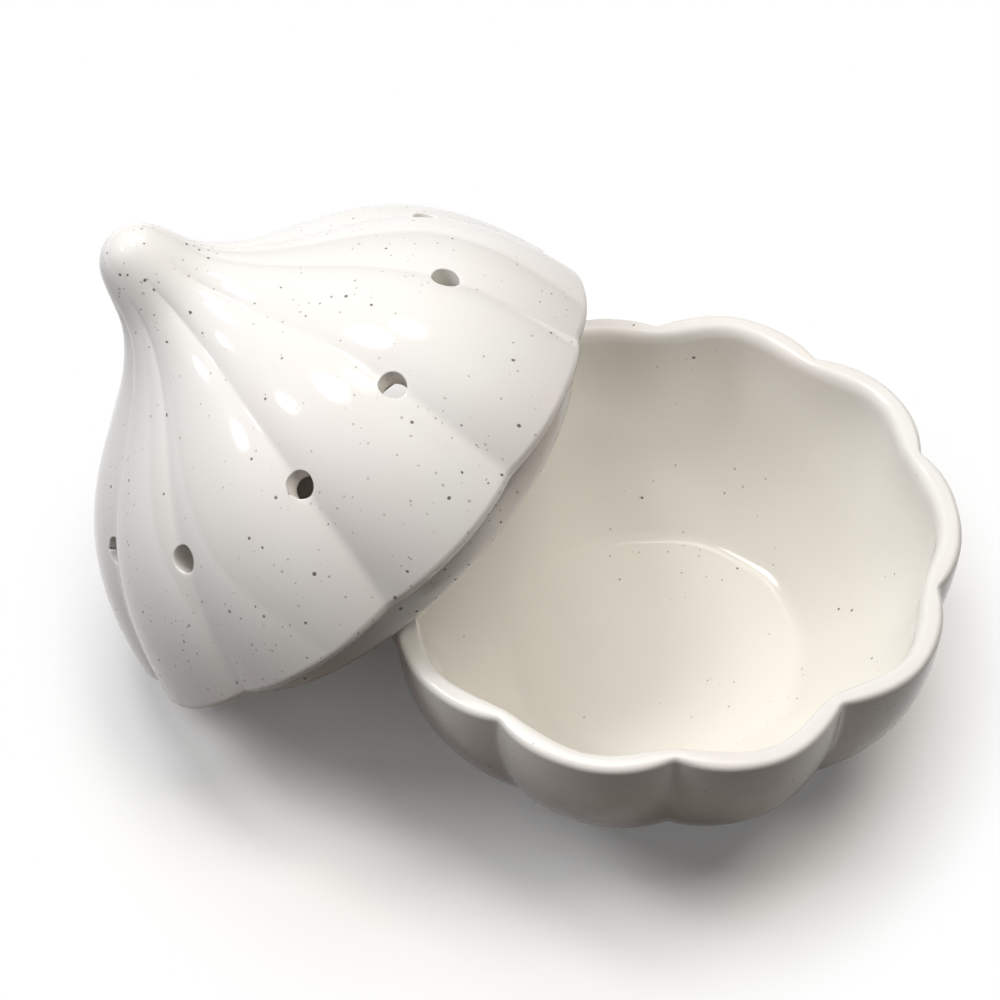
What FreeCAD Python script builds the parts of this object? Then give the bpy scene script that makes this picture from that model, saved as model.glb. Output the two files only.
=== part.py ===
"""Garlic keeper of glazed stoneware: a lobed bowl, and a garlic-bulb lid that leans on its rim.

Millimetres and degrees, +Z up. The origin is the centre of the bowl's foot, on the table.
"""
import FreeCAD, Part
import math
import os

# ---- Driving dimensions ----

# Both pieces
LOBES = 10
RIM_RADIUS = 62.5         # over the crest of a lobe, where lid and bowl meet
WALL = 5.0                # thrown wall of bowl and lid
STEPS = 8                 # sections that carry one curved outline

# Bowl
BOWL_HEIGHT = 50.5
BOWL_GROOVE_DEPTH = 4.3   # from crest to groove at the rim, outside
BOWL_INNER_DEPTH = 4.0    # the same inside, where the lobes are soft
GROOVE_ANGLE = 18.9       # direction of the first groove, from +X
RIM_ROUND = 1.8
BOTTOM_REACH = 14.0       # how far the underside runs out level beside the foot
BELLY_HEIGHT = 25.0       # height at which the outside has turned upright
FLOOR_THICKNESS = 6.8     # from the recess inside the foot to the inner floor
FLOOR_RADIUS = 31.4       # round floor inside, up to the crease at its edge
FLOOR_SWEEP = 12.0        # length of the wall's first, shallow rise
FLOOR_CREASE = 28.0       # slope of that rise
FOOT_RADIUS = 31.0
FOOT_HEIGHT = 2.5
FOOT_WIDTH = 4.5
FOOT_ROUND = 1.0

# Lid
LID_HEIGHT = 76.2         # from the resting ledge to the tip of the stem
LID_GROOVE_DEPTH = 3.0
LID_INNER_DEPTH = 2.2
EDGE_ROUND = 2.0          # round of the scalloped edge
SHOULDER = (11.0, 47.9)   # pull of the outline's lower half: in from the rim, and up
NECK = (11.2, 39.8)       # pull of its upper half: out from the stem, and up
STEM_RADIUS = 8.2
FLANGE_HEIGHT = 9.2       # locating ring that drops into the bowl
FLANGE_WALL = 5.8
FLANGE_ROUND = 2.0
FLANGE_CLEARANCE = 1.7    # all round, inside the bowl's soft grooves
HOLLOW_END = 0.80         # share of the outline that the hollow follows up the neck
HOLLOW_ROUND = 8.0        # round of its end in the neck
VENT_DIAMETER = 5.5
VENT_HEIGHT = 28.5        # above the ledge, one in each groove

# Lid off, leaning against the bowl
LEAN_TILT = 42.9          # stem away from upright
LEAN_AZIMUTH = 161.0      # direction in which the stem leans, from +X
LEAN_SPIN = -1.3          # turn of the lid about its own stem
LEAN_GAP = 0.3            # left between the two glazes where they touch

# ---- Derived places ----

LOBE_ANGLE = 360.0 / LOBES
FLOOR_LEVEL = FOOT_HEIGHT + FLOOR_THICKNESS
RIM_START = BOWL_HEIGHT - RIM_ROUND
INNER_RADIUS = RIM_RADIUS - WALL
FLANGE_RADIUS = INNER_RADIUS - BOWL_INNER_DEPTH - FLANGE_CLEARANCE
BORE_RADIUS = FLANGE_RADIUS - FLANGE_WALL
STEM_TOP = LID_HEIGHT - STEM_RADIUS
OVERLAP = 1.0             # how far a tool or joined piece runs past a face

BOWL_OUTLINE = [
    (FOOT_RADIUS, FOOT_HEIGHT),
    (FOOT_RADIUS + BOTTOM_REACH, FOOT_HEIGHT),
    (RIM_RADIUS, BELLY_HEIGHT),
    (RIM_RADIUS, RIM_START),
]
BOWL_INSIDE = [
    (FLOOR_RADIUS, FLOOR_LEVEL),
    (FLOOR_RADIUS + FLOOR_SWEEP * math.cos(math.radians(FLOOR_CREASE)),
     FLOOR_LEVEL + FLOOR_SWEEP * math.sin(math.radians(FLOOR_CREASE))),
    (INNER_RADIUS, BELLY_HEIGHT + WALL / 2),
    (INNER_RADIUS, RIM_START),
]
LID_OUTLINE = [
    (RIM_RADIUS, EDGE_ROUND),
    (RIM_RADIUS - SHOULDER[0], SHOULDER[1]),
    (STEM_RADIUS + NECK[0], NECK[1]),
    (STEM_RADIUS, STEM_TOP),
]


# ---- Outlines ----

def curve_point(outline, share):
    """Point of the smooth outline with these four guide points, share 0 at its start and 1 at its end."""
    rest = 1.0 - share
    weights = (rest ** 3, 3 * rest ** 2 * share, 3 * rest * share ** 2, share ** 3)
    radius = sum(weight * point[0] for weight, point in zip(weights, outline))
    height = sum(weight * point[1] for weight, point in zip(weights, outline))
    return radius, height


def curve_normal(outline, share):
    """Unit normal of the outline, away from the axis."""
    nudge = 1e-4
    before = curve_point(outline, max(share - nudge, 0.0))
    after = curve_point(outline, min(share + nudge, 1.0))
    run = after[0] - before[0]
    rise = after[1] - before[1]
    length = math.hypot(run, rise)
    return rise / length, -run / length


def share_at_height(outline, height):
    """Share along a rising outline at which it reaches a height."""
    low, high = 0.0, 1.0
    for _ in range(50):
        middle = (low + high) / 2
        if curve_point(outline, middle)[1] < height:
            low = middle
        else:
            high = middle
    return (low + high) / 2


def outline_points(outline):
    """Evenly spaced points along an outline, as (radius, height)."""
    return [curve_point(outline, step / STEPS) for step in range(STEPS + 1)]


def quarter_round(radius, height, size, rise):
    """Quarter circle from an upright wall at (radius, height), turning in above (1) or below (-1)."""
    angles = [math.radians(30 * step) for step in range(4)]
    return [(radius - size * (1 - math.cos(a)), height + rise * size * math.sin(a)) for a in angles]


def groove_depth(radius, depth, points):
    """Depth of the grooves, full where the outline is widest and gone where it is narrowest."""
    radii = [point[0] for point in points]
    return depth * (radius - min(radii)) / (max(radii) - min(radii))


# ---- Lobed rings and the solids between them ----

def polar(radius, angle, height):
    """Point at an angle in degrees about the Z axis."""
    turn = math.radians(angle)
    return FreeCAD.Vector(radius * math.cos(turn), radius * math.sin(turn), height)


def sharp_ring(radius, depth, height):
    """Closed ring of one arc for each lobe, meeting in sharp grooves."""
    arcs = []
    for lobe in range(LOBES):
        start = (lobe - 0.5) * LOBE_ANGLE
        groove = polar(radius - depth, start, height)
        crest = polar(radius, start + LOBE_ANGLE / 2, height)
        next_groove = polar(radius - depth, start + LOBE_ANGLE, height)
        arcs.append(Part.Arc(groove, crest, next_groove).toShape())
    return Part.Wire(arcs)


def soft_ring(radius, depth, height):
    """Closed ring that waves in and out once for each lobe, with no crease.

    It is an even cubic spline with one pole over each crest and one over each groove. Such a curve
    passes its poles at a sixth, two thirds and a sixth of three neighbours, which sets their radii.
    """
    groove = radius - depth
    cosine = math.cos(math.radians(LOBE_ANGLE / 2))
    crest_pole = (6 * radius - 3 * cosine * groove) / (4 - cosine ** 2)
    groove_pole = (6 * groove - 3 * cosine * radius) / (4 - cosine ** 2)
    poles = []
    for lobe in range(LOBES):
        poles.append(polar(groove_pole, (lobe - 0.5) * LOBE_ANGLE, height))
        poles.append(polar(crest_pole, lobe * LOBE_ANGLE, height))
    knots = [float(knot) for knot in range(len(poles) + 1)]
    curve = Part.BSplineCurve()
    curve.buildFromPolesMultsKnots(poles, [1] * len(knots), knots, True, 3)
    return Part.Wire([curve.toShape()])


def lobed_solid(ring, points, depth):
    """Solid through one ring at each (radius, height) point."""
    rings = [ring(r, groove_depth(r, depth, points), z) for r, z in points]
    return Part.makeLoft(rings, True, False)


def cylinder(radius, low, high):
    """Upright cylinder about the Z axis."""
    return Part.makeCylinder(radius, high - low, FreeCAD.Vector(0, 0, low))


def half_ball(radius, height):
    """Upper half of a ball, closing the top of a round neck."""
    return Part.makeSphere(radius, FreeCAD.Vector(0, 0, height), FreeCAD.Vector(0, 0, 1), 0, 90, 360)


def round_edges_at(solid, height, size):
    """Round the circular edges that lie at one height."""
    edges = [edge for edge in solid.Edges
             if abs(edge.BoundBox.ZMin - height) < 1e-6 and abs(edge.BoundBox.ZMax - height) < 1e-6]
    return solid.makeFillet(size, edges)


# ---- Bowl ----

def foot_ring():
    """Ring that the bowl stands on, with softened edges."""
    ring = cylinder(FOOT_RADIUS, 0, FOOT_HEIGHT + OVERLAP)
    ring = ring.cut(cylinder(FOOT_RADIUS - FOOT_WIDTH, -OVERLAP, FOOT_HEIGHT + 2 * OVERLAP))
    return round_edges_at(ring, 0.0, FOOT_ROUND)


def bowl_hollow():
    """Inside of the bowl up to its rim, and the flare of the rim's inner round."""
    inside = lobed_solid(soft_ring, outline_points(BOWL_INSIDE), BOWL_INNER_DEPTH)
    flare = [(2 * INNER_RADIUS - r, z) for r, z in quarter_round(INNER_RADIUS, RIM_START, RIM_ROUND, 1)]
    mouth = Part.makeLoft([soft_ring(r, BOWL_INNER_DEPTH, z) for r, z in flare], True, False)
    return [inside, mouth]


def bowl():
    """Lobed bowl, grooves at GROOVE_ANGLE and every lobe from there."""
    body = lobed_solid(sharp_ring, outline_points(BOWL_OUTLINE), BOWL_GROOVE_DEPTH)
    round_points = quarter_round(RIM_RADIUS, RIM_START, RIM_ROUND, 1)
    rim = Part.makeLoft([sharp_ring(r, BOWL_GROOVE_DEPTH, z) for r, z in round_points], True, False)
    solid = body.fuse([rim, foot_ring()]).cut(bowl_hollow())
    solid.rotate(FreeCAD.Vector(0, 0, 0), FreeCAD.Vector(0, 0, 1), GROOVE_ANGLE + LOBE_ANGLE / 2)
    return solid


# ---- Lid, upright, with its resting ledge at height 0 ----

def lid_outside():
    """Bulb from the scalloped edge up to the rounded tip of the stem."""
    bulb = lobed_solid(sharp_ring, outline_points(LID_OUTLINE), LID_GROOVE_DEPTH)
    round_points = quarter_round(RIM_RADIUS, EDGE_ROUND, EDGE_ROUND, -1)[::-1]
    edge = Part.makeLoft([sharp_ring(r, LID_GROOVE_DEPTH, z) for r, z in round_points], True, False)
    return bulb.fuse([edge, half_ball(STEM_RADIUS, STEM_TOP)])


def lid_hollow():
    """Inside of the bulb, one wall in from the outside, with a round end in the neck."""
    points = []
    start = share_at_height(LID_OUTLINE, WALL)
    for step in range(STEPS + 1):
        share = start + (HOLLOW_END - start) * step / STEPS
        radius, height = curve_point(LID_OUTLINE, share)
        out, up = curve_normal(LID_OUTLINE, share)
        points.append((radius - WALL * out, height - WALL * up))
    points[0] = (points[0][0], WALL)
    hollow = lobed_solid(soft_ring, points, LID_INNER_DEPTH)
    return round_edges_at(hollow, points[-1][1], HOLLOW_ROUND)


def flange():
    """Plain round ring under the ledge that keeps the closed lid from sliding off."""
    ring = cylinder(FLANGE_RADIUS, -FLANGE_HEIGHT, OVERLAP)
    ring = ring.cut(cylinder(BORE_RADIUS, -FLANGE_HEIGHT - OVERLAP, 2 * OVERLAP))
    return round_edges_at(ring, -FLANGE_HEIGHT, FLANGE_ROUND)


def vents():
    """One drill for each groove, square to the wall."""
    share = share_at_height(LID_OUTLINE, VENT_HEIGHT)
    crest = curve_point(LID_OUTLINE, share)[0]
    radius = crest - groove_depth(crest, LID_GROOVE_DEPTH, outline_points(LID_OUTLINE))
    out, up = curve_normal(LID_OUTLINE, share)
    drills = []
    for lobe in range(LOBES):
        angle = (lobe + 0.5) * LOBE_ANGLE
        direction = polar(out, angle, up)
        start = polar(radius, angle, VENT_HEIGHT) - direction * (2 * WALL)
        drills.append(Part.makeCylinder(VENT_DIAMETER / 2, 3 * WALL, start, direction))
    return drills


def lid():
    """Hollow bulb with its flange and vents, upright."""
    bore = cylinder(BORE_RADIUS, -FLANGE_HEIGHT - OVERLAP, WALL + OVERLAP)
    return lid_outside().fuse(flange()).cut([lid_hollow(), bore] + vents())


# ---- How the lid leans ----

def rim_radius_at(angle):
    """Outer radius of the bowl's rim in a direction, in degrees from +X."""
    groove = RIM_RADIUS - BOWL_GROOVE_DEPTH
    half = math.radians(LOBE_ANGLE / 2)
    chord = groove * math.sin(half)
    sagitta = RIM_RADIUS - groove * math.cos(half)
    arc_radius = (chord ** 2 + sagitta ** 2) / (2 * sagitta)
    centre = RIM_RADIUS - arc_radius
    off_crest = math.radians((angle - GROOVE_ANGLE) % LOBE_ANGLE) - half
    return centre * math.cos(off_crest) + math.sqrt(arc_radius ** 2 - (centre * math.sin(off_crest)) ** 2)


def lean_height():
    """Height of the ledge's centre when the lowest point of the leaning lid is on the table."""
    sine, cosine = math.sin(math.radians(LEAN_TILT)), math.cos(math.radians(LEAN_TILT))
    by_edge = (RIM_RADIUS - EDGE_ROUND) * sine - EDGE_ROUND * cosine + EDGE_ROUND
    by_flange = (FLANGE_RADIUS - FLANGE_ROUND) * sine + (FLANGE_HEIGHT - FLANGE_ROUND) * cosine + FLANGE_ROUND
    return max(by_edge, by_flange)


def flange_gap(distance):
    """Room between the flange's inner round and the rim's outer round, with the lid this far out."""
    sine, cosine = math.sin(math.radians(LEAN_TILT)), math.cos(math.radians(LEAN_TILT))
    ring = BORE_RADIUS + FLANGE_ROUND
    drop = FLANGE_HEIGHT - FLANGE_ROUND
    nearest = math.inf
    for step in range(-90, 91):
        turn = math.radians(step)
        out = distance - drop * sine - ring * math.cos(turn) * cosine
        side = ring * math.sin(turn)
        height = lean_height() - drop * cosine + ring * math.cos(turn) * sine
        direction = LEAN_AZIMUTH + math.degrees(math.atan2(side, out))
        radial = math.hypot(out, side) - (rim_radius_at(direction) - RIM_ROUND)
        nearest = min(nearest, math.hypot(radial, height - RIM_START) - RIM_ROUND - FLANGE_ROUND)
    return nearest


def lean_distance():
    """Level distance from the bowl's axis to the ledge's centre, where the flange meets the rim."""
    distance = 2 * RIM_RADIUS
    step = 1.0
    while step > 1e-4:
        if flange_gap(distance - step) > LEAN_GAP:
            distance -= step
        else:
            step /= 2
    return distance


def lean():
    """Placement that takes the upright lid to where it leans on the bowl."""
    upright = FreeCAD.Vector(0, 0, 1)
    spin = FreeCAD.Rotation(upright, LEAN_SPIN)
    tilt = FreeCAD.Rotation(FreeCAD.Vector(0, 1, 0), LEAN_TILT)
    heading = FreeCAD.Rotation(upright, LEAN_AZIMUTH)
    place = polar(lean_distance(), LEAN_AZIMUTH, lean_height())
    return FreeCAD.Placement(place, heading * tilt * spin)


def save(name, shape):
    """Write one piece as a single valid solid."""
    solid = shape.removeSplitter()
    print(name, "valid", solid.isValid(), "solids", len(solid.Solids), "faces", len(solid.Faces),
          "cm3", round(solid.Volume / 1000, 2))
    solid.Solids[0].exportStep("parts/" + name + ".step")


def main():
    os.makedirs("parts", exist_ok=True)
    save("bowl", bowl())
    leaning_lid = lid()
    leaning_lid.Placement = lean().multiply(leaning_lid.Placement)
    save("lid", leaning_lid)


main()
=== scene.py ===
"""Looks of a glazed stoneware garlic keeper: a lobed bowl, and a garlic-bulb lid that leans on its rim.

Metres, +Z up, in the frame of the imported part: the origin is the centre of the bowl's foot on the table.
The pieces' sizes are in millimetres and turned to metres where their mesh is made.
"""

import logging
import math
from dataclasses import dataclass
from enum import Enum
from math import cos, radians, sin

import bmesh
import bpy
from mathutils import Matrix, Vector
from mathutils.bvhtree import BVHTree


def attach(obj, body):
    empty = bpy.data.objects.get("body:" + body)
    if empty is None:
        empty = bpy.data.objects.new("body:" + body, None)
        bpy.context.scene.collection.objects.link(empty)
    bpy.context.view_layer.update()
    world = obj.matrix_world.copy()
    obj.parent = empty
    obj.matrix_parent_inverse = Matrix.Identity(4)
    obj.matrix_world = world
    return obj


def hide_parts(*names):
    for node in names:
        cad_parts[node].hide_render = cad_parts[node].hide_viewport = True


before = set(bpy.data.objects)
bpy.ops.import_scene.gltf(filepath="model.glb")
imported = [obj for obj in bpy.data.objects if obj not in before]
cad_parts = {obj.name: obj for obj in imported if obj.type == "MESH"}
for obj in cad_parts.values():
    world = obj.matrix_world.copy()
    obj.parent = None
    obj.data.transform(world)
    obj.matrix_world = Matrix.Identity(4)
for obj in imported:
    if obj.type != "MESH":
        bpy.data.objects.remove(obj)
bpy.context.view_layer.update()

log = logging.getLogger("garlic_keeper")

MM = 0.001
WELD = 0.001 * MM         # distance within which two mesh points are one
LOBES = 10
LOBE_ANGLE = 360.0 / LOBES
REGULAR = (0.0,) * LOBES  # for lobes or grooves that all keep their regular place
NO_GROOVE = 1e-4          # mm of groove below which a wall is plainly round
FULL_DEPTH = 3.0          # mm of groove from which a lobe's own unevenness shows in full
GROOVE_CROWDING = 0.6     # how much closer the mesh lines stand in a groove than on a crest
INSIDE_FADE = 14.0        # mm over which the creamier glaze of the inside comes in; on the bowl it is also painted lighter there, as painted light
WHITE = (1.0, 1.0, 1.0, 1.0)
NOISE_MIDDLE = (0.5, 0.5, 0.5)
GLASS_IOR = 1.5           # of glaze and of fired clay

DEPTH_LAYER = "lobe_depth"
CRISP_LAYER = "crispness"
INSIDE_LAYER = "inside"

Point = tuple[float, float]
NodeTree = bpy.types.NodeTree
Socket = bpy.types.NodeSocket
Surface = bmesh.types.BMesh
Edge = bmesh.types.BMEdge


# ---- Small tools ----

def linear(code: str) -> tuple[float, float, float, float]:
    """Turn an sRGB hex colour into linear light.

    Args:
        code: six hex digits, such as "f4f1ea".

    Returns:
        Red, green, blue and an alpha of 1.
    """
    channels = [int(code[start:start + 2], 16) / 255 for start in (0, 2, 4)]
    red, green, blue = [c / 12.92 if c <= 0.04045 else ((c + 0.055) / 1.055) ** 2.4 for c in channels]
    return red, green, blue, 1.0


def add_node(tree: NodeTree, kind: str, links: dict[str | int, object] | None = None,
             **settings: object) -> bpy.types.Node:
    """Add a node with its settings and its inputs.

    Args:
        tree: the node tree that gets it.
        kind: Blender's name of its kind, less the ShaderNode in front.
        links: for each input, named or numbered, its value or the output that feeds it.
        settings: its own properties.

    Returns:
        The new node.
    """
    node = tree.nodes.new("ShaderNode" + kind)
    for name, value in settings.items():
        setattr(node, name, value)
    for socket, source in (links or {}).items():
        if isinstance(source, Socket):
            tree.links.new(source, node.inputs[socket])
        else:
            node.inputs[socket].default_value = source
    return node


def combine(tree: NodeTree, operation: str, *terms: object, **settings: object) -> Socket:
    """Combine values, or outputs that feed them, by one operation of the Math node."""
    return add_node(tree, "Math", dict(enumerate(terms)), operation=operation, **settings).outputs[0]


def mix_colours(tree: NodeTree, share: Socket, first: object, second: object) -> Socket:
    """Mix two colours, from the first at a share of 0 to the second at 1."""
    return add_node(tree, "Mix", {"Factor": share, 6: first, 7: second}, data_type="RGBA").outputs[2]


def noise(tree: NodeTree, place: Socket, size: float, detail: float,
          roughness: float = 0.5) -> bpy.types.Node:
    """Add noise with spots of about a size in millimetres."""
    return add_node(tree, "TexNoise", {
        "Vector": place, "Scale": 1 / (size * MM), "Detail": detail, "Roughness": roughness})


def ramp(tree: NodeTree, value: Socket, start: float, end: float, low: object = 0.0, high: object = 1.0,
         kind: str = "LINEAR") -> Socket:
    """Go from low to high while a value goes from start to end."""
    links = {"Value": value, "From Min": start, "From Max": end, "To Min": low, "To Max": high}
    return add_node(tree, "MapRange", links, interpolation_type=kind).outputs["Result"]


def new_material(name: str) -> bpy.types.Material:
    """Make a material with no node in it yet.

    Args:
        name: the material's name.

    Returns:
        The material.
    """
    material = bpy.data.materials.new(name)
    material.use_nodes = True
    material.node_tree.nodes.clear()
    return material


def add_mesh(name: str, bm: Surface) -> bpy.types.Object:
    """Put a surface into the scene, and free it.

    Args:
        name: the new object's name.
        bm: its surface.

    Returns:
        The object.
    """
    mesh = bpy.data.meshes.new(name)
    bm.to_mesh(mesh)
    bm.free()
    thing = bpy.data.objects.new(name, mesh)
    bpy.context.scene.collection.objects.link(thing)
    return thing


def curve_point(guides: list[Point], share: float) -> Point:
    """Find a point of the smooth outline through four guide points.

    Args:
        guides: four (radius, height) points, of which the first and last are its ends.
        share: 0 at its start and 1 at its end.

    Returns:
        Radius and height.
    """
    rest = 1.0 - share
    weights = (rest ** 3, 3 * rest ** 2 * share, 3 * rest * share ** 2, share ** 3)
    radius = sum(weight * guide[0] for weight, guide in zip(weights, guides))
    height = sum(weight * guide[1] for weight, guide in zip(weights, guides))
    return radius, height


def curve_normal(guides: list[Point], share: float) -> Point:
    """Find the unit normal of a rising outline, away from the axis.

    Args:
        guides: the outline's four guide points.
        share: 0 at its start and 1 at its end.

    Returns:
        How far the normal points outwards, and how far up.
    """
    nudge = 1e-4
    before = curve_point(guides, max(share - nudge, 0.0))
    after = curve_point(guides, min(share + nudge, 1.0))
    run, rise = after[0] - before[0], after[1] - before[1]
    length = math.hypot(run, rise)
    return rise / length, -run / length


def share_at_height(guides: list[Point], height: float) -> float:
    """Find where a rising outline reaches a height.

    Args:
        guides: the outline's four guide points.
        height: the height, in their units.

    Returns:
        The share along the outline.
    """
    low, high, halvings = 0.0, 1.0, 40
    for _ in range(halvings):
        middle = (low + high) / 2
        if curve_point(guides, middle)[1] < height:
            low = middle
        else:
            high = middle
    return (low + high) / 2


def arc(centre: Point, radius: float, start: float, end: float, steps: int) -> list[Point]:
    """Points along an arc in the section, with angles in degrees from the level outward direction."""
    angles = [radians(start + (end - start) * step / steps) for step in range(steps + 1)]
    return [(centre[0] + radius * cos(a), centre[1] + radius * sin(a)) for a in angles]


def straight(start: Point, end: Point, steps: int) -> list[Point]:
    """Evenly spaced points from start up to, but without, end."""
    return [(start[0] + (end[0] - start[0]) * step / steps, start[1] + (end[1] - start[1]) * step / steps)
            for step in range(steps)]


# ---- Lobes ----

@dataclass(frozen=True)
class Lobes:
    """The scallops that run round a piece: bulging lobes that meet in grooves.

    Grooves were pressed by hand, so each may stand a little aside. Angles are in degrees from +X, before
    the piece leans.
    """

    first_groove: float
    fill: float                                 # share of a groove's depth that glaze has rounded over
    low_shifts: tuple[float, ...] = REGULAR     # how far each groove stands aside at height 0
    middle_shifts: tuple[float, ...] = REGULAR  # the same at the middle height
    high_shifts: tuple[float, ...] = REGULAR    # and from the high height up
    middle_height: float = 28.0
    high_height: float = 56.0
    crest_reach: tuple[float, ...] = REGULAR    # mm that each lobe bulges past its regular size
    groove_reach: tuple[float, ...] = REGULAR   # mm that each groove stands out past its regular place

    def shift(self, groove: int, height: float) -> float:
        """How far a groove stands aside, on a smooth curve through its three known places.

        Args:
            groove: number of the groove.
            height: height above the wide end, in millimetres.

        Returns:
            The angle, in degrees.
        """
        rows = (self.low_shifts, self.middle_shifts, self.high_shifts)
        low, middle, high = (row[groove % LOBES] for row in rows)
        at = min(max(height, 0.0), self.high_height)
        first = (middle - low) / self.middle_height
        second = ((high - middle) / (self.high_height - self.middle_height) - first) / self.high_height
        return low + first * at + second * at * (at - self.middle_height)

    def unevenness(self, lobe: int, off_crest: float) -> float:
        """How far the wall stands out past its regular place, where the grooves are deep enough.

        Args:
            lobe: number of the lobe.
            off_crest: angle from its crest, in degrees.

        Returns:
            The distance, in millimetres.
        """
        crest_share = cos(radians(off_crest) * LOBES / 2) ** 2
        groove = lobe if off_crest < 0 else (lobe + 1) % LOBES
        return self.crest_reach[lobe] * crest_share + self.groove_reach[groove] * (1 - crest_share)

    def place(self, turn: float, height: float) -> tuple[float, float, int]:
        """Take an evenly turned angle to its place on the hand-made piece.

        Args:
            turn: angle of a mesh line before shaping, in degrees from the first groove.
            height: height above the wide end, in millimetres.

        Returns:
            The angle from +X, the angle from the lobe's crest on a regular lobe, and the lobe.
        """
        slack = 1e-6    # a mesh line that stands in a groove belongs to the lobe after it
        lobe = math.floor(turn / LOBE_ANGLE + slack)
        across = 2 * (turn / LOBE_ANGLE - lobe) - 1
        across += GROOVE_CROWDING * (sin(across * math.pi / 2) - across)
        start = self.first_groove + lobe * LOBE_ANGLE + self.shift(lobe, height)
        end = self.first_groove + (lobe + 1) * LOBE_ANGLE + self.shift(lobe + 1, height)
        return start + (end - start) * (across + 1) / 2, across * LOBE_ANGLE / 2, lobe % LOBES

    def soft_radius(self, crest: float, depth: float, off_crest: float) -> float:
        """Radius of an inside wall in one direction: a wave with no crease in it."""
        return crest - depth * sin(radians(off_crest) * LOBES / 2) ** 2

    def crisp_radius(self, crest: float, depth: float, off_crest: float) -> float:
        """Radius of an outside wall in one direction.

        Each lobe is an arc of a circle. Two neighbours meet in a groove, which the glaze rounds over.

        Args:
            crest: radius over the crest of a lobe.
            depth: how much nearer the axis a groove is.
            off_crest: angle from the crest, in degrees.

        Returns:
            The radius, in their units.
        """
        if depth < NO_GROOVE:
            return crest
        blend = self.fill * depth / (1 - self.fill / 4)
        groove = crest - depth - blend / 4
        half = radians(LOBE_ANGLE / 2)
        chord = groove * sin(half)
        sagitta = crest - groove * cos(half)
        bulge = (chord ** 2 + sagitta ** 2) / (2 * sagitta)
        centre = crest - bulge
        own, other = radians(abs(off_crest)), radians(LOBE_ANGLE - abs(off_crest))
        radii = [centre * cos(a) + math.sqrt(max(bulge ** 2 - (centre * sin(a)) ** 2, 0.0))
                 for a in (own, other)]
        overlap = max(blend - abs(radii[0] - radii[1]), 0.0) / blend
        return max(radii) + overlap ** 2 * blend / 4


class Face(Enum):
    """What a stretch of a piece's section is."""

    OUTSIDE = 1.0         # lobes that meet in crisp grooves, or none where the depth is 0
    INSIDE = 0.0          # the soft lobes of an inside wall


@dataclass(frozen=True)
class Stop:
    """One point of a turned section, in millimetres."""

    radius: float
    height: float
    depth: float = 0.0
    face: Face = Face.OUTSIDE
    across: float = 0.0   # share of the way over to the other face's shape

    def crispness(self) -> float:
        """How crisp the grooves are here, from 0 on an inside wall to 1 outside."""
        return abs(self.face.value - self.across)


# ---- Finishes ----

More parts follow.
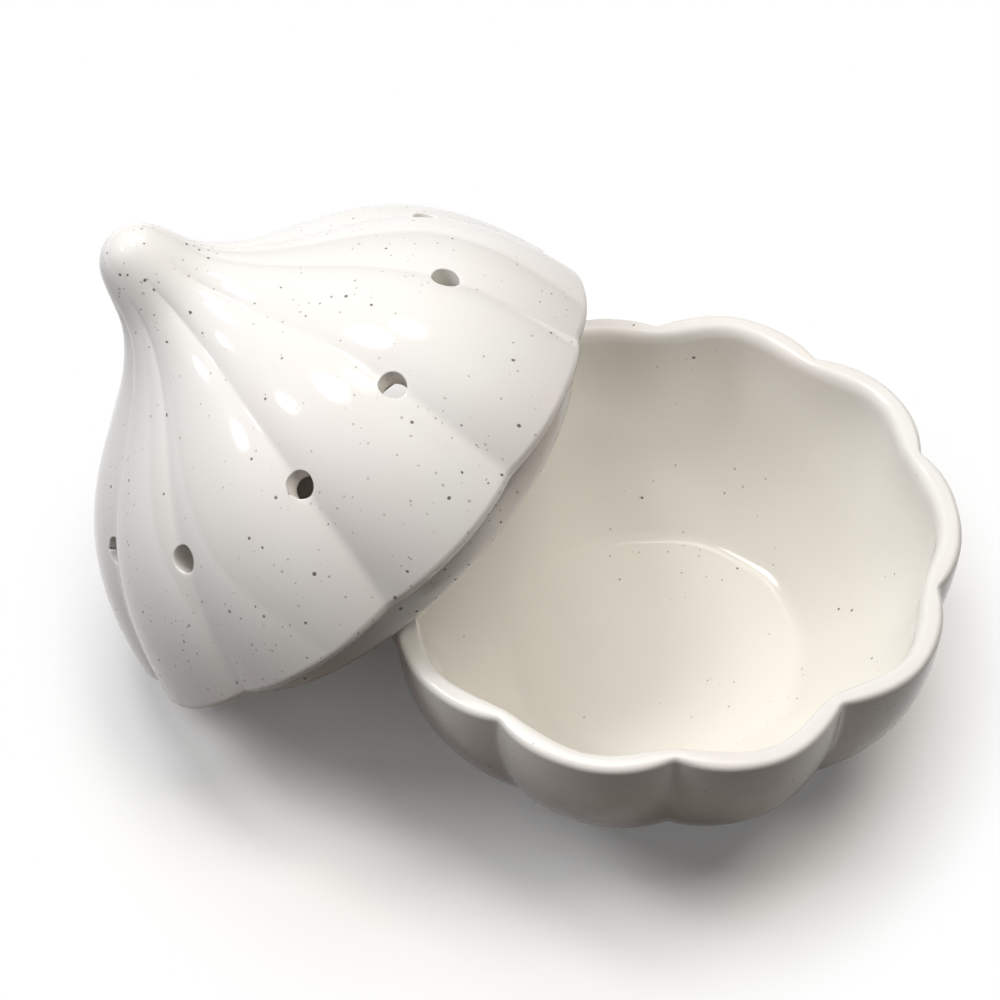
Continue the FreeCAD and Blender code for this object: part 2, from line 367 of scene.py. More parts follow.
@dataclass(frozen=True)
class StonewareGlaze:
    """Glossy off-white stoneware glaze, dipped and fired over a speckled clay.

    It gives the eye a wet gloss with crisp lamp reflections that waver a little, a milky body colour that is
    creamier where the glaze lies thick inside (on the bowl also painted lighter there, as painted light), and
    iron specks that bleed up from the clay.
    """

    name: str
    body: str                     # where the glaze is of ordinary thickness
    warm: str                     # where it is thinner or thicker, in broad soft patches
    inside: str                   # on the inside, where it lies thicker and creamier; on the bowl also lighter, painted light for a brighter inside
    patch_size: float = 38.0      # mm from one soft patch to the next
    patch_from: float = 0.35      # noise at which a patch begins
    patch_to: float = 0.68        # noise at which it is at its fullest
    speck: str = "4a423c"
    speck_spacing: float = 2.6    # mm between the grains of iron in the clay
    speck_size: float = 0.75      # mm across the largest
    speck_least: float = 0.2      # reach of the smallest, as a share of that size
    speck_spread: float = 0.3     # how much further the largest reach
    speck_edge: float = 0.14      # width of their soft edge
    speck_ragged: float = 0.5     # how far their edges wander
    speck_strength: float = 0.85  # how much of their colour comes through the glaze
    speck_share: float = 0.3      # of all grains that show, in an ordinary place
    faint_speck: str = "8f867d"
    faint_spacing: float = 0.62   # spacing, size and strength of the faint specks between them
    faint_size: float = 0.8
    faint_strength: float = 0.5
    cluster_size: float = 24.0    # mm from one loose cluster of specks to the next
    cluster_contrast: float = 1.6
    crowd: Vector = Vector((0.0, 0.0, 0.0))   # middle of the place where most of them show
    crowd_reach: float = 1.0      # mm from there to where they thin out
    crowd_core: float = 0.35      # share of that reach in which they stand at their densest
    crowd_share: float = 0.6      # of all grains that show there besides
    wave_size: float = 5.0        # mm from one ripple of the glaze to the next
    wave_height: float = 0.08     # mm
    wave_strength: float = 0.25
    roughness: float = 0.1

    def material(self) -> bpy.types.Material:
        """Build the glaze.

        Returns:
            Its node material.
        """
        material = new_material(self.name)
        tree = material.node_tree
        place = add_node(tree, "TexCoord").outputs["Object"]
        colour = self.tone(tree, place)
        colour = self.specks(tree, place, colour, self.speck, self.speck_spacing, self.speck_size,
                             self.speck_strength)
        colour = self.specks(tree, place, colour, self.faint_speck, self.speck_spacing * self.faint_spacing,
                             self.speck_size * self.faint_size, self.faint_strength)
        shader = add_node(tree, "BsdfPrincipled", {
            "Base Color": colour, "Roughness": self.roughness, "IOR": GLASS_IOR,
            "Normal": self.waviness(tree, place)})
        add_node(tree, "OutputMaterial", {"Surface": shader.outputs["BSDF"]})
        return material

    def tone(self, tree: NodeTree, place: Socket) -> Socket:
        """Mix the glaze's body colour with its soft patches and the creamier glaze inside; on the bowl that
        inside colour is also painted light.

        Args:
            tree: the material's node tree.
            place: object coordinates.

        Returns:
            The colour output.
        """
        patches = noise(tree, place, self.patch_size, detail=3.0)
        soft = ramp(tree, patches.outputs["Fac"], self.patch_from, self.patch_to)
        body = mix_colours(tree, soft, linear(self.body), linear(self.warm))
        # share of the inside colour, which on the bowl also carries painted light
        within = add_node(tree, "Attribute", attribute_name=INSIDE_LAYER)
        return mix_colours(tree, within.outputs["Fac"], body, linear(self.inside))

    def specks(self, tree: NodeTree, place: Socket, colour: Socket,
               speck: str, spacing: float, size: float, strength: float) -> Socket:
        """Scatter one size of iron speck over a colour.

        A grain sits at a random point of each cell of the clay, and shows where the surface cuts through it.

        Args:
            tree: the material's node tree.
            place: object coordinates.
            colour: what the specks lie on.
            speck: their colour, in hex.
            spacing: millimetres from one grain to the next.
            size: millimetres across the largest.
            strength: how much of the speck's colour comes through the glaze.

        Returns:
            The colour output.
        """
        ragged = noise(tree, place, size, detail=1.0)
        offset = add_node(tree, "VectorMath", {0: ragged.outputs["Color"], 1: NOISE_MIDDLE},
                          operation="SUBTRACT")
        offset = add_node(tree, "VectorMath", {
            0: offset.outputs[0], "Scale": size * MM * self.speck_ragged}, operation="SCALE")
        grain_place = add_node(tree, "VectorMath", {0: place, 1: offset.outputs[0]}, operation="ADD")
        grains = add_node(tree, "TexVoronoi", {
            "Vector": grain_place.outputs[0], "Scale": 1 / (spacing * MM)})
        lot = add_node(tree, "SeparateColor", {"Color": grains.outputs["Color"]})
        clusters = noise(tree, place, self.cluster_size, detail=2.0)
        from_crowd = add_node(tree, "VectorMath", {0: place, 1: tuple(self.crowd * MM)},
                              operation="DISTANCE")
        far = self.crowd_reach * MM
        crowding = ramp(tree, from_crowd.outputs["Value"], self.crowd_core * far, far,
                        low=self.crowd_share, high=0.0, kind="SMOOTHSTEP")
        share = combine(tree, "MULTIPLY_ADD", clusters.outputs["Fac"], self.cluster_contrast,
                        self.speck_share - self.cluster_contrast / 2)
        share = combine(tree, "ADD", share, crowding)
        shows = combine(tree, "LESS_THAN", lot.outputs["Red"], share)
        cell = size / spacing    # the largest grain, in cells
        reach = combine(tree, "MULTIPLY_ADD", lot.outputs["Green"], self.speck_spread * cell,
                        self.speck_least * cell)
        inside = combine(tree, "SUBTRACT", reach, grains.outputs["Distance"])
        edge = ramp(tree, inside, 0.0, self.speck_edge * cell, high=strength)
        shown = combine(tree, "MULTIPLY", edge, shows)
        return mix_colours(tree, shown, colour, linear(speck))

    def waviness(self, tree: NodeTree, place: Socket) -> Socket:
        """Let the glaze's surface waver, as it settles in the kiln.

        Args:
            tree: the material's node tree.
            place: object coordinates.

        Returns:
            The normal output.
        """
        waves = noise(tree, place, self.wave_size, detail=2.0, roughness=0.4)
        bump = add_node(tree, "Bump", {
            "Height": waves.outputs["Fac"], "Strength": self.wave_strength,
            "Distance": self.wave_height * MM})
        return bump.outputs["Normal"]


@dataclass(frozen=True)
class BareStoneware:
    """Unglazed fired stoneware of the foot ring, wiped clean of glaze before firing.

    It gives the eye a matt, sandy buff ring with darker grains.
    """

    name: str = "bare_stoneware"
    clay: str = "c9b79c"
    grain: str = "a38d70"
    grit_size: float = 0.8        # mm from one grain to the next
    grit_height: float = 0.15     # mm
    grit_strength: float = 0.6
    roughness: float = 0.85

    def material(self) -> bpy.types.Material:
        """Build the bare clay.

        Returns:
            Its node material.
        """
        material = new_material(self.name)
        tree = material.node_tree
        place = add_node(tree, "TexCoord").outputs["Object"]
        grit = noise(tree, place, self.grit_size, detail=4.0)
        colour = mix_colours(tree, grit.outputs["Fac"], linear(self.clay), linear(self.grain))
        bump = add_node(tree, "Bump", {
            "Height": grit.outputs["Fac"], "Strength": self.grit_strength, "Distance": self.grit_height * MM})
        shader = add_node(tree, "BsdfPrincipled", {
            "Base Color": colour, "Roughness": self.roughness, "IOR": GLASS_IOR,
            "Normal": bump.outputs["Normal"]})
        add_node(tree, "OutputMaterial", {"Surface": shader.outputs["BSDF"]})
        return material


# ---- Pieces ----

@dataclass
class TurnedPiece:
    """A thrown piece: a section turned once round its axis, and pressed into lobes."""

    name: str
    body: str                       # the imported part's body that it moves with
    slot: str                       # name of a material slot; nothing here reads it
    lobes: Lobes
    finish: StonewareGlaze
    inside_top: float = 200.0       # height at which the creamier glaze of the inside ends
    mesh_steps: int = 36            # mesh lines for each lobe
    spacing: float = 0.9            # mm from one turned line to the next

    def section(self) -> list[Stop]:
        """Section from the axis, along one side of the wall and back along the other."""
        raise NotImplementedError

    def along(self, guides: list[Point], start: float = 0.0, end: float = 1.0) -> list[Point]:
        """Space points evenly along an outline.

        Args:
            guides: the outline's four guide points.
            start: share of the outline at which the points start.
            end: share at which they end.

        Returns:
            The points, in its units.
        """
        fine, fewest, slack = 400, 4, 1e-9
        walk = [curve_point(guides, start + (end - start) * step / fine) for step in range(fine + 1)]
        lengths = [0.0]
        for before, after in zip(walk, walk[1:]):
            lengths.append(lengths[-1] + math.dist(before, after))
        steps = max(round(lengths[-1] / self.spacing), fewest)
        points = []
        index = 0
        for step in range(steps + 1):
            while lengths[index] < lengths[-1] * step / steps - slack:
                index += 1
            points.append(walk[index])
        return points

    def turned(self) -> Surface:
        """Turn the section once round the axis.

        Returns:
            The surface, in metres, before its lobes.
        """
        bm = bmesh.new()
        depth_layer = bm.verts.layers.float.new(DEPTH_LAYER)
        crisp_layer = bm.verts.layers.float.new(CRISP_LAYER)
        bm.verts.layers.float.new(INSIDE_LAYER)
        line = []
        for stop in self.section():
            vert = bm.verts.new((stop.radius * MM, 0.0, stop.height * MM))
            vert[depth_layer] = stop.depth
            vert[crisp_layer] = stop.crispness()
            line.append(vert)
        edges = [bm.edges.new(pair) for pair in zip(line, line[1:])]
        bmesh.ops.spin(bm, geom=line + edges, cent=(0, 0, 0), axis=(0, 0, 1), angle=math.tau,
                       steps=LOBES * self.mesh_steps, use_merge=True)
        bmesh.ops.remove_doubles(bm, verts=bm.verts, dist=WELD)
        bmesh.ops.recalc_face_normals(bm, faces=bm.faces)
        return bm

    def press_lobes(self, bm: Surface) -> None:
        """Press the turned piece into its lobes, and note which wall is the inside.

        Args:
            bm: the turned surface.
        """
        depth_layer = bm.verts.layers.float[DEPTH_LAYER]
        crisp_layer = bm.verts.layers.float[CRISP_LAYER]
        inside_layer = bm.verts.layers.float[INSIDE_LAYER]
        for vert in bm.verts:
            turn = math.degrees(math.atan2(vert.co.y, vert.co.x)) % 360
            crest = math.hypot(vert.co.x, vert.co.y) / MM
            angle, off_crest, lobe = self.lobes.place(turn, vert.co.z / MM)
            depth = vert[depth_layer]
            crispness = vert[crisp_layer]
            radius = (1 - crispness) * self.lobes.soft_radius(crest, depth, off_crest)
            radius += crispness * self.lobes.crisp_radius(crest, depth, off_crest)
            radius += self.lobes.unevenness(lobe, off_crest) * min(depth / FULL_DEPTH, 1.0)
            below_top = (self.inside_top - vert.co.z / MM) / INSIDE_FADE
            vert[inside_layer] = min(max(below_top, 0.0), 1.0) * (1 - crispness)
            vert.co.x = radius * cos(radians(angle)) * MM
            vert.co.y = radius * sin(radians(angle)) * MM

    def placement(self) -> Matrix:
        """Where the piece stands."""
        return Matrix.Identity(4)

    def detail(self, bm: Surface) -> None:
        """Work that a piece needs after its lobes, while it stands upright."""

    def build(self) -> bpy.types.Object:
        """Model the piece, dress it and tie it to its body.

        Returns:
            The piece.
        """
        bm = self.turned()
        self.press_lobes(bm)
        self.detail(bm)
        bmesh.ops.transform(bm, matrix=self.placement(), verts=bm.verts)
        for face in bm.faces:
            face.smooth = True
        piece = add_mesh(self.name, bm)
        piece.data.materials.append(self.finish.material())
        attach(piece, self.body)
        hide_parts(self.body)
        return piece


@dataclass
class Bowl(TurnedPiece):
    """Lobed bowl with a level round floor, a rounded rim and a foot ring."""

    rim_radius: float = 62.5
    wall: float = 5.0
    height: float = 50.5
    inside_top: float = 50.5
    rim_outer_round: float = 1.3
    rim_inner_round: float = 2.2
    rim_inner_drop: float = 3.4     # how far down the inner round reaches
    groove_depth: float = 4.3
    inner_depth: float = 3.1
    floor_level: float = 9.3
    floor_radius: float = 31.4
    floor_depth: float = 0.6        # of the inside lobes where they meet the floor
    floor_fade: int = 6             # how fast they fade from there to the middle
    inner_fade: float = 3.0         # how fast they fade from the rim down
    crease_round: float = 8.0
    crease_slope: float = 28.0      # degrees that the wall rises at, beyond the crease
    crease_gap: float = 0.2         # mm from the crease to the wall's first mesh line
    floor_sweep: float = 12.0
    belly_height: float = 25.0
    bottom_reach: float = 16.0
    foot_radius: float = 31.0
    foot_height: float = 2.5
    foot_width: float = 4.5
    foot_round: float = 1.0
    bare_height: float = 1.01       # height below which the foot ring is bare
    clay: BareStoneware = BareStoneware()

    def section(self) -> list[Stop]:
        """Section over the floor, up the inside, over the rim and down to the foot.

        Returns:
            Its stops, from the axis round to the axis.
        """
        outer_start = self.height - self.rim_outer_round
        inner_start = self.height - self.rim_inner_drop
        inner = self.rim_radius - self.wall
        slope = radians(self.crease_slope)
        outline = [(self.foot_radius, self.foot_height),
                   (self.foot_radius + self.bottom_reach, self.foot_height),
                   (self.rim_radius, self.belly_height), (self.rim_radius, outer_start)]
        inside = [(self.floor_radius, self.floor_level),
                  (self.floor_radius + self.floor_sweep * cos(slope),
                   self.floor_level + self.floor_sweep * sin(slope)),
                  (inner, self.belly_height + self.wall / 2), (inner, inner_start)]

        def inner_depth(radius: float) -> float:
            """Depth of the inside lobes, at a distance from the axis."""
            share = max((radius - self.floor_radius) / (inner - self.floor_radius), 0.0)
            return (self.floor_depth * min(radius / self.floor_radius, 1.0) ** self.floor_fade
                    + (self.inner_depth - self.floor_depth) * share ** self.inner_fade)

        def outer_depth(radius: float) -> float:
            """Depth of the outer grooves, at a distance from the axis."""
            share = (radius - self.foot_radius) / (self.rim_radius - self.foot_radius)
            return max(self.groove_depth * share, 0.0)

        tangent = self.crease_round * math.tan(slope / 2)
        crease_start = self.floor_radius - tangent
        crease = arc((crease_start, self.floor_level + self.crease_round), self.crease_round,
                     -90, -90 + self.crease_slope, steps=6)
        floor = straight((0, self.floor_level), (crease_start, self.floor_level), steps=20)
        wall = [(r, z) for r, z in self.along(inside) if r > crease[-1][0] + self.crease_gap]
        stops = [Stop(r, z, inner_depth(r), Face.INSIDE) for r, z in floor + crease + wall]
        stops += self.lip()
        stops += [Stop(r, z, outer_depth(r), Face.OUTSIDE) for r, z in self.along(outline)[-2::-1]]
        foot_inner = self.foot_radius - self.foot_width
        foot = arc((self.foot_radius - self.foot_round, self.foot_round), self.foot_round, 0, -90, steps=5)
        foot += arc((foot_inner + self.foot_round, self.foot_round), self.foot_round, -90, -180, steps=5)
        foot += straight((foot_inner, self.foot_height), (0, self.foot_height), steps=10)
        stops += [Stop(r, z) for r, z in foot]
        return stops + [Stop(0, self.foot_height)]

    def lip(self) -> list[Stop]:
        """Section over the rim, in which the soft inside lobes turn into the crisp outer ones.

        Returns:
            The stops after the inside wall's last one.
        """
        inner = self.rim_radius - self.wall
        drop = self.rim_inner_drop / self.rim_inner_round
        turn = arc((inner + self.rim_inner_round, 0.0), self.rim_inner_round, 180, 90, steps=10)
        line = [(r, self.height - self.rim_inner_drop + z * drop) for r, z in turn]
        outer_turn = self.rim_radius - self.rim_outer_round
        line += straight((inner + self.rim_inner_round, self.height), (outer_turn, self.height), steps=3)[1:]
        line += arc((outer_turn, self.height - self.rim_outer_round), self.rim_outer_round, 90, 0, steps=8)
        stops = []
        for radius, height in line[1:]:
            across = (radius - inner) / self.wall
            depth = self.inner_depth + (self.groove_depth - self.inner_depth) * across
            stops.append(Stop(radius, height, depth, Face.INSIDE, across))
        return stops

    def build(self) -> bpy.types.Object:
        """Build the bowl, and leave its foot ring bare.

        Returns:
            The bowl.
        """
        piece = super().build()
        piece.data.materials.append(self.clay.material())
        for face in piece.data.polygons:
            if max(piece.data.vertices[index].co.z for index in face.vertices) < self.bare_height * MM:
                face.material_index = 1
        return piece


@dataclass(frozen=True)
class Vent:
    """One round opening through the wall of the upright lid."""

    centre: Vector    # middle of its outer mouth, in metres
    axis: Vector      # its direction, outwards


@dataclass
class Lid(TurnedPiece):
    """Hollow garlic-bulb lid with a stem, vents in its grooves and a locating flange, leaning on the bowl."""

    rim_radius: float = 62.5
    wall: float = 5.0
    stem_top: float = 67.98
    stem_radius: float = 8.2
    shoulder: Point = (11.0, 47.9)
    neck: Point = (11.2, 39.8)
    groove_depth: float = 3.0
    groove_run_out: float = 10.0    # mm below the tip's ball over which the grooves come up to their depth
    neck_crispness: float = 0.8     # power of the radius that their depth goes with
    inner_depth: float = 2.2
    edge_round: float = 2.0
    flange_radius: float = 51.8
    bore_radius: float = 46.0
    flange_height: float = 9.2
    flange_round: float = 2.0
    corner_round: float = 0.8
    tip_end: float = 30.0           # degrees above level at which the tip's ball runs into the neck
    neck_share: float = 0.88        # share of the outline from which the neck takes over
    hollow_end: float = 0.80        # share of the outline at which the hollow ends
    hollow_flatness: float = 0.6    # height of the dome that closes it, as a share of a ball's
    vent_radius: float = 2.75
    vent_lip: float = 0.3
    vent_heights: tuple[float, ...] = (28.3,) * LOBES
    vent_lean: float = 15.0         # degrees that the vents lean from square to the wall towards the stem
    tilt: float = 42.9
    azimuth: float = 161.0
    spin: float = -1.3
    reach: float = 67.04            # level distance from the bowl's axis to the centre of the ledge

    def outline(self) -> list[Point]:
        """Guide points of the outside, from the scalloped edge to the stem."""
        return [(self.rim_radius, self.edge_round), (self.rim_radius - self.shoulder[0], self.shoulder[1]),
                (self.stem_radius + self.neck[0], self.neck[1]), (self.stem_radius, self.stem_top)]

    def outer_depth(self, radius: float, height: float) -> float:
        """Depth of the grooves: in keeping with the radius, and gone at the tip of the stem."""
        fade = min(max((self.stem_top - height) / self.groove_run_out, 0.0), 1.0)
        return self.groove_depth * fade * (radius / self.rim_radius) ** self.neck_crispness

    def neck_line(self) -> list[Point]:
        """Lead the tip's ball smoothly into the outline.

        Returns:
            Guide points of the run between them.
        """
        tip = radians(self.tip_end)
        start = (self.stem_radius * cos(tip), self.stem_top + self.stem_radius * sin(tip))
        end = curve_point(self.outline(), self.neck_share)
        out, up = curve_normal(self.outline(), self.neck_share)
        pull = math.dist(start, end) / 3
        return [start, (start[0] + pull * sin(tip), start[1] - pull * cos(tip)),
                (end[0] - pull * up, end[1] + pull * out), end]

    def section(self) -> list[Stop]:
        """Section from the tip of the stem down the outside, round the flange and up the hollow.

        Returns:
            Its stops, from the axis round to the axis.
        """
        outline = self.outline()
        stops = [Stop(r, z) for r, z in arc((0, self.stem_top), self.stem_radius, 90, self.tip_end, steps=10)]
        neck = self.along(self.neck_line())[1:] + self.along(outline, self.neck_share, 0.0)[1:]
        stops += [Stop(r, z, self.outer_depth(r, z), Face.OUTSIDE) for r, z in neck]
        edge = arc((self.rim_radius - self.edge_round, self.edge_round), self.edge_round, 0, -90, steps=6)[1:]
        stops += [Stop(r, z, self.groove_depth, Face.OUTSIDE) for r, z in edge]
        corner = self.flange_radius + self.corner_round
        edge_end = self.rim_radius - self.edge_round
        steps = 8
        for step, (r, z) in enumerate(straight((edge_end, 0), (corner, 0), steps)[1:], 1):
            stops.append(Stop(r, z, self.groove_depth * (1 - step / steps), Face.OUTSIDE))
        bottom = -self.flange_height + self.flange_round
        flange = arc((corner, -self.corner_round), self.corner_round, 90, 180, steps=4)
        flange_start = (self.flange_radius, -self.corner_round)
        flange += straight(flange_start, (self.flange_radius, bottom), steps=6)[1:]
        flange += arc((self.flange_radius - self.flange_round, bottom), self.flange_round, 0, -90, steps=6)
        flange += arc((self.bore_radius + self.flange_round, bottom), self.flange_round, -90, -180, steps=6)
        stops += [Stop(r, z) for r, z in flange]
        bore = straight((self.bore_radius, bottom), (self.bore_radius, self.wall), steps=14)[1:]
        stops += [Stop(r, z, 0.0, Face.INSIDE) for r, z in bore]
        return stops + self.hollow()

    def hollow(self) -> list[Stop]:
        """Section of the inside, one wall in from the outside, closed in the neck.

        Returns:
            Its stops, from the bore to the axis.
        """
        outline = self.outline()
        start = share_at_height(outline, self.wall)
        steps = 60
        points = []
        for step in range(steps + 1):
            share = start + (self.hollow_end - start) * step / steps
            radius, height = curve_point(outline, share)
            out, up = curve_normal(outline, share)
            points.append((radius - self.wall * out, height - self.wall * up))
        widest, end = points[0][0], points[-1]
        shelf = straight((self.bore_radius, self.wall), (widest, self.wall), steps=6)
        stops = [Stop(r, z, 0.0, Face.INSIDE) for r, z in shelf]
        for radius, height in points:
            share = max((radius - end[0]) / (widest - end[0]), 0.0)
            stops.append(Stop(radius, max(height, self.wall), self.inner_depth * share, Face.INSIDE))
        for radius, height in arc((0, end[1]), end[0], 0, 90, steps=8)[1:]:
            level = end[1] + (height - end[1]) * self.hollow_flatness
            stops.append(Stop(max(radius, 0.0), level, 0.0, Face.INSIDE))
        return stops

    def detail(self, bm: Surface) -> None:
        """Open the ten vents, with their lips softened by the glaze.

        Args:
            bm: the lid, upright.
        """
        surface = BVHTree.FromBMesh(bm)
        for number, height in enumerate(self.vent_heights):
            share = share_at_height(self.outline(), height)
            crest = curve_point(self.outline(), share)[0]
            depth = self.outer_depth(crest, height)
            groove = crest - depth + self.lobes.groove_reach[number] * min(depth / FULL_DEPTH, 1.0)
            out, up = curve_normal(self.outline(), share)
            rise = math.atan2(up, out) + radians(self.vent_lean)
            shift = self.lobes.shift(number, height)
            angle = radians(self.lobes.first_groove + number * LOBE_ANGLE + shift)
            around = Vector((cos(angle), sin(angle), 0.0))
            vent = Vent(centre=around * groove * MM + Vector((0, 0, height * MM)),
                        axis=around * cos(rise) + Vector((0, 0, sin(rise))))
            rings = []
            for side in (1, -1):
                rings += self.turn_lip(bm, self.cut_ring(bm, surface, vent, side), vent, side)
            bmesh.ops.bridge_loops(bm, edges=rings)

    def cut_ring(self, bm: Surface, surface: BVHTree, vent: Vent, side: int) -> list[Edge]:
        """Cut a round opening into one side of the wall.

        Args:
            bm: the lid, upright.
            surface: the lid's surface before any vent.
            vent: where it goes.
            side: 1 for the outside of the wall and -1 for the inside.

        Returns:
            The edges round the opening.
        """
        lip = (self.vent_radius + self.vent_lip) * MM
        middle = vent.centre - vent.axis * self.wall * MM / 2
        clear = self.wall * 1.5 * MM    # far enough out to look back at the wall

        def off_axis(point: Vector) -> float:
            """Distance of a point from the vent's axis."""
            spoke = point - middle
            return (spoke - vent.axis * spoke.dot(vent.axis)).length

        def on_side(point: Vector) -> bool:
            """Whether a point is in this side's half of the wall."""
            lift = (point - middle).dot(vent.axis) * side
            return 0 < lift < self.wall * MM

        gone = [face for face in bm.faces
                if off_axis(face.calc_center_median()) < lip and on_side(face.calc_center_median())]
        rim = {edge for face in gone for edge in face.edges
               if any(other not in gone for other in edge.link_faces)}
        bmesh.ops.delete(bm, geom=gone, context="FACES")
        ring = [edge for edge in rim if edge.is_valid]
        verts = {vert for edge in ring for vert in edge.verts}
        for vert in verts:
            spoke = vert.co - middle
            spoke -= vent.axis * spoke.dot(vent.axis)
            start = middle + spoke.normalized() * lip + vent.axis * side * clear
            vert.co = surface.ray_cast(start, -vent.axis * side)[0]
        return ring

    def turn_lip(self, bm: Surface, ring: list[Edge], vent: Vent, side: int) -> list[Edge]:
        """Turn the lip of an opening over into the vent, a quarter round.

        Args:
            bm: the lid, upright.
            ring: the edges round the opening.
            vent: whose lip it is.
            side: 1 for the outside of the wall and -1 for the inside.

        Returns:
            The edges at the end of the round.
        """
        steps = 5
        for step in range(1, steps + 1):
            grown = bmesh.ops.extrude_edge_only(bm, edges=ring)["geom"]
            ring = [part for part in grown if isinstance(part, Edge)]
            verts = [part for part in grown if isinstance(part, bmesh.types.BMVert)]
            before, after = radians(90 * (step - 1) / steps), radians(90 * step / steps)
            radius = self.vent_radius + self.vent_lip * (1 - sin(after))
            drop = self.vent_lip * (cos(before) - cos(after))
            for vert in verts:
                spoke = vert.co - vent.centre
                lift = spoke.dot(vent.axis)
                spoke -= vent.axis * lift
                rise = vent.axis * (lift - side * drop * MM)
                vert.co = vent.centre + spoke.normalized() * radius * MM + rise
        return [edge for edge in ring if edge.is_boundary]

    def placement(self) -> Matrix:
        """How the lid leans: its lowest edge on the table, and its flange against the bowl's rim.

        Returns:
            The move from upright on the origin.
        """
        tilt, heading = radians(self.tilt), radians(self.azimuth)
        lift = (self.rim_radius - self.edge_round) * sin(tilt) + self.edge_round * (1 - cos(tilt))
        place = Vector((self.reach * cos(heading), self.reach * sin(heading), lift)) * MM
        turn = Matrix.Rotation(heading, 4, "Z") @ Matrix.Rotation(tilt, 4, "Y")
        return Matrix.Translation(place) @ turn @ Matrix.Rotation(radians(self.spin), 4, "Z")


# ---- Studio ----

@dataclass(frozen=True)
class Softbox:
    """A lamp with an even face, turned to the middle of the table."""

    name: str
    azimuth: float          # degrees from +X, where it stands
    elevation: float        # degrees above the table
    size: float             # metres across
    light: float            # share of a white surface's full brightness that it gives, facing it
    mirrored: bool = True   # whether the glaze mirrors it; a fill behind a wide screen leaves no highlight
    tint: str = "ffffff"    # colour of its light
    distance: float = 1.0   # metres from the middle of the table

    def build(self) -> None:
        """Hang the lamp."""
        lamp = bpy.data.lights.new(self.name, "AREA")
        lamp.shape = "DISK"
        lamp.size = self.size
        lamp.energy = self.light * (math.pi * self.distance) ** 2
        lamp.color = linear(self.tint)[:3]
        softbox = bpy.data.objects.new(self.name, lamp)
        softbox.visible_glossy = self.mirrored
        azimuth, elevation = radians(self.azimuth), radians(self.elevation)
        level = cos(elevation)
        heading = Vector((level * cos(azimuth), level * sin(azimuth), sin(elevation)))
        softbox.location = heading * self.distance
        softbox.rotation_euler = (-heading).to_track_quat("-Z", "Y").to_euler()
        bpy.context.scene.collection.objects.link(softbox)


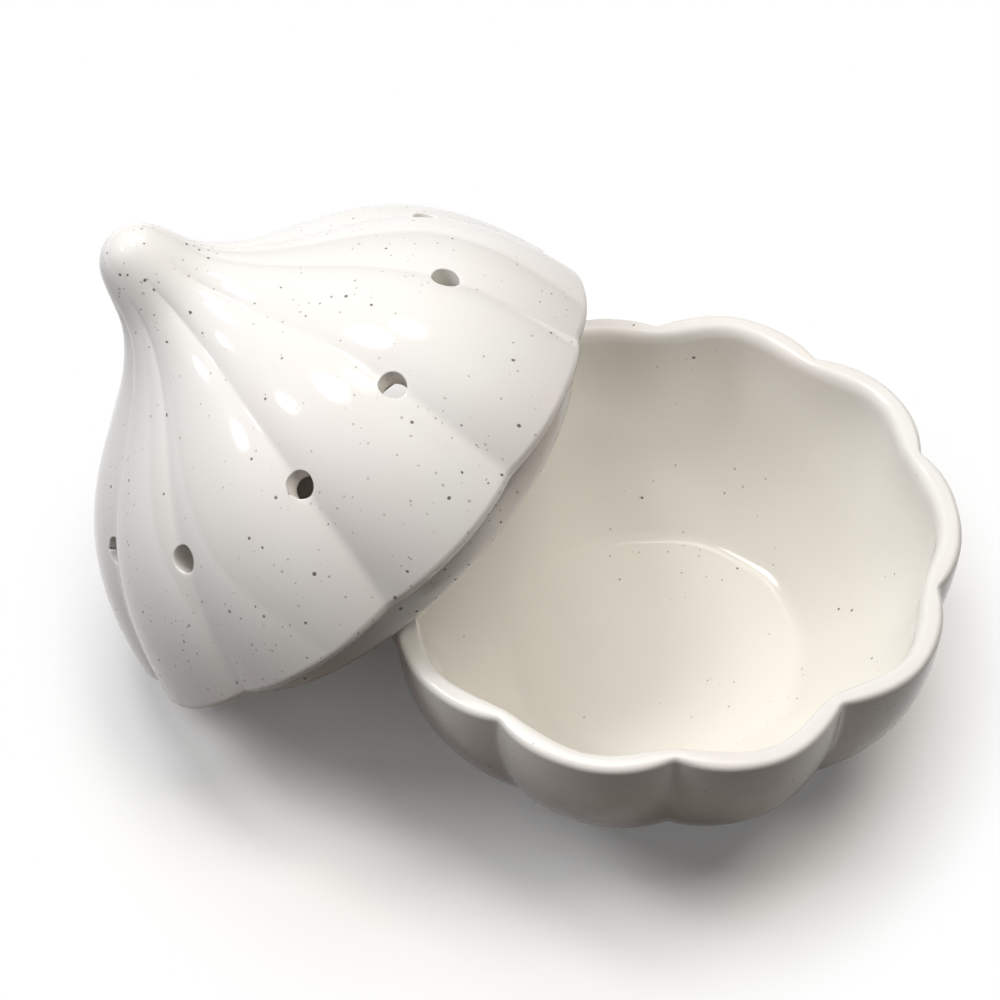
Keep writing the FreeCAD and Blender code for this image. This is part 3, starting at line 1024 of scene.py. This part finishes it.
@dataclass(frozen=True)
class Studio:
    """White table, three small lamps that the glaze mirrors, three wide screens of fill and the camera."""

    lamps: tuple[Softbox, ...] = (
        Softbox("key_softbox", azimuth=138.0, elevation=66.0, size=0.26, light=0.19),
        Softbox("back_softbox", azimuth=96.0, elevation=64.0, size=0.26, light=0.055),
        Softbox("back_screen", azimuth=90.0, elevation=52.0, size=0.4, light=0.12, mirrored=False),
        Softbox("left_softbox", azimuth=173.0, elevation=47.0, size=0.13, light=0.05),
        Softbox("left_screen", azimuth=180.0, elevation=50.0, size=0.5, light=0.4, mirrored=False),
        Softbox("right_screen", azimuth=0.0, elevation=74.0, size=0.5, light=0.43, mirrored=False,
                tint="fff9ed"))
    dome: float = 0.03                 # brightness of the fill straight above; it is dark at the horizon
    table_reach: float = 20.0          # metres from its middle to its edge
    table_bounce: str = "52402c"       # what the table gives back to the pieces
    middle: Vector = Vector((-29.0, 11.0, 0.0))    # mm, of the two pieces, on the table
    shadow_lift: float = 0.14          # how much of the plain white shows through the shadows in front
    lift_from: float = 0.02            # metres along Y from where it comes in, towards the front
    lift_to: float = -0.02             # and where it is in full
    table_white_from: float = 0.078    # metres from the middle, from where the table turns plain white
    table_white_to: float = 0.115
    camera_place: Vector = Vector((-33.81, -454.75, 617.64))    # mm
    camera_pitch: float = 39.21        # degrees from looking straight down
    lens: float = 127.1                # mm
    nearest: float = 0.01              # metres from the camera to the nearest thing it shows

    def build(self) -> None:
        """Set up table, lamps, world and camera."""
        self.table()
        for lamp in self.lamps:
            lamp.build()
        self.fill()
        self.camera()
        bpy.context.scene.view_settings.view_transform = "Standard"

    def table(self) -> None:
        """Lay a table that keeps the shadow, is white to the camera and gives little light back."""
        bm = bmesh.new()
        bmesh.ops.create_grid(bm, x_segments=8, y_segments=8, size=self.table_reach)
        table = add_mesh("table_top", bm)
        material = new_material("white_paper")
        tree = material.node_tree
        path = add_node(tree, "LightPath")
        seen = combine(tree, "MAXIMUM", path.outputs["Is Camera Ray"], path.outputs["Is Glossy Ray"])
        seen = combine(tree, "MAXIMUM", seen, path.outputs["Is Transmission Ray"])
        bounce = add_node(tree, "BsdfDiffuse", {"Color": linear(self.table_bounce)})
        paper = add_node(tree, "BsdfDiffuse", {"Color": WHITE})
        plain = add_node(tree, "Emission", {"Color": WHITE})
        place = add_node(tree, "TexCoord").outputs["Object"]
        forward = add_node(tree, "SeparateXYZ", {"Vector": place}).outputs["Y"]
        lift = ramp(tree, forward, self.lift_from, self.lift_to, high=self.shadow_lift)
        far = add_node(tree, "VectorMath", {0: place, 1: tuple(self.middle * MM)}, operation="DISTANCE")
        whiter = ramp(tree, far.outputs["Value"], self.table_white_from, self.table_white_to, low=lift,
                      kind="SMOOTHSTEP")
        white = add_node(tree, "MixShader", {"Fac": whiter, 1: paper.outputs[0], 2: plain.outputs[0]})
        mixed = add_node(tree, "MixShader", {"Fac": seen, 1: bounce.outputs[0], 2: white.outputs[0]})
        add_node(tree, "OutputMaterial", {"Surface": mixed.outputs[0]})
        table.data.materials.append(material)

    def fill(self) -> None:
        """Surround the pieces with a dome that is bright overhead and dark at the horizon."""
        world = bpy.data.worlds.new("studio")
        world.use_nodes = True
        tree = world.node_tree
        tree.nodes.clear()
        heading = add_node(tree, "TexCoord").outputs["Generated"]
        height = add_node(tree, "SeparateXYZ", {"Vector": heading}).outputs["Z"]
        level = combine(tree, "MULTIPLY", height, self.dome, use_clamp=True)
        dome = add_node(tree, "Background", {"Color": WHITE, "Strength": level})
        add_node(tree, "OutputWorld", {"Surface": dome.outputs[0]})
        bpy.context.scene.world = world

    def camera(self) -> None:
        """Put the camera in front, looking down at both pieces."""
        view = bpy.data.cameras.new("camera")
        view.lens = self.lens
        view.clip_start = self.nearest
        camera = bpy.data.objects.new("camera", view)
        camera.location = self.camera_place * MM
        camera.rotation_euler = (radians(self.camera_pitch), 0.0, 0.0)
        bpy.context.scene.collection.objects.link(camera)
        bpy.context.scene.camera = camera


def handmade_bowl() -> Bowl:
    """Describe the bowl, as uneven as it came out by hand.

    Returns:
        The bowl, not yet built.
    """
    shifts = (2.2, -0.3, -0.9, 0.0, 0.0, 0.0, -0.3, -0.3, 1.0, 2.2)
    lobes = Lobes(first_groove=18.9, fill=0.22, low_shifts=shifts, middle_shifts=shifts, high_shifts=shifts,
                  crest_reach=(0.3, -0.3, -1.5, 0.0, 0.0, 0.0, -0.3, -0.9, -0.8, -1.0),
                  groove_reach=(0.5, 0.4, -1.1, 0.0, 0.0, 0.0, 0.8, -0.5, -2.2, -0.5))
    # the inside colour is lighter than the body: partly a creamier glaze, partly painted light for a brighter
    # inside
    glaze = StonewareGlaze("bowl_glaze", body="f1f0ee", warm="f0ece9", inside="f5f2ec", speck_size=0.9,
                           speck_share=-0.02)
    return Bowl("glazed_bowl", body="bowl", slot="bowl_glaze", lobes=lobes, finish=glaze)


def handmade_lid() -> Lid:
    """Describe the lid, as uneven as it came out by hand.

    Returns:
        The lid, not yet built.
    """
    lobes = Lobes(first_groove=18.0, fill=0.25,
                  low_shifts=(0.0, 1.7, 0.3, 1.0, -0.4, -1.0, -2.8, 0.0, 0.0, 0.0),
                  middle_shifts=(1.5, 4.7, 3.0, 4.0, 0.1, -1.6, 1.8, 1.5, 1.5, 1.5),
                  high_shifts=(5.5, 7.0, 5.5, 5.0, 5.5, 5.5, -1.4, 5.5, 5.5, 5.5),
                  crest_reach=(-0.3, 0.8, 0.3, 0.0, 0.3, 0.7, 1.3, -0.1, 0.0, 0.0),
                  groove_reach=(0.0, 0.5, 1.4, 0.3, 0.2, 2.0, 0.9, 0.0, 0.0, 0.0))
    glaze = StonewareGlaze("lid_glaze", body="f0efee", warm="efebe9", inside="f1ece4", speck_size=0.95,
                           speck_share=0.3, crowd=Vector((-66.0, -32.0, 40.0)), crowd_reach=45.0)
    return Lid("glazed_lid", body="lid", slot="lid_glaze", lobes=lobes, finish=glaze,
               vent_heights=(28.3, 30.5, 28.9, 28.3, 28.0, 28.8, 28.3, 28.3, 28.3, 28.3))


def main() -> None:
    """Build and dress both pieces, then light them."""
    logging.basicConfig(level=logging.INFO, format="%(name)s: %(message)s")
    for piece in (handmade_bowl(), handmade_lid()):
        built = piece.build()
        box = [round(x / MM, 1) for x in built.dimensions]
        log.info("%s rides on %s: %d faces, box %s mm", piece.name, piece.body, len(built.data.polygons), box)
    studio = Studio()
    studio.build()
    log.info("studio: table, %d lamps, dome and camera", len(studio.lamps))


if __name__ == "__main__":
    main()
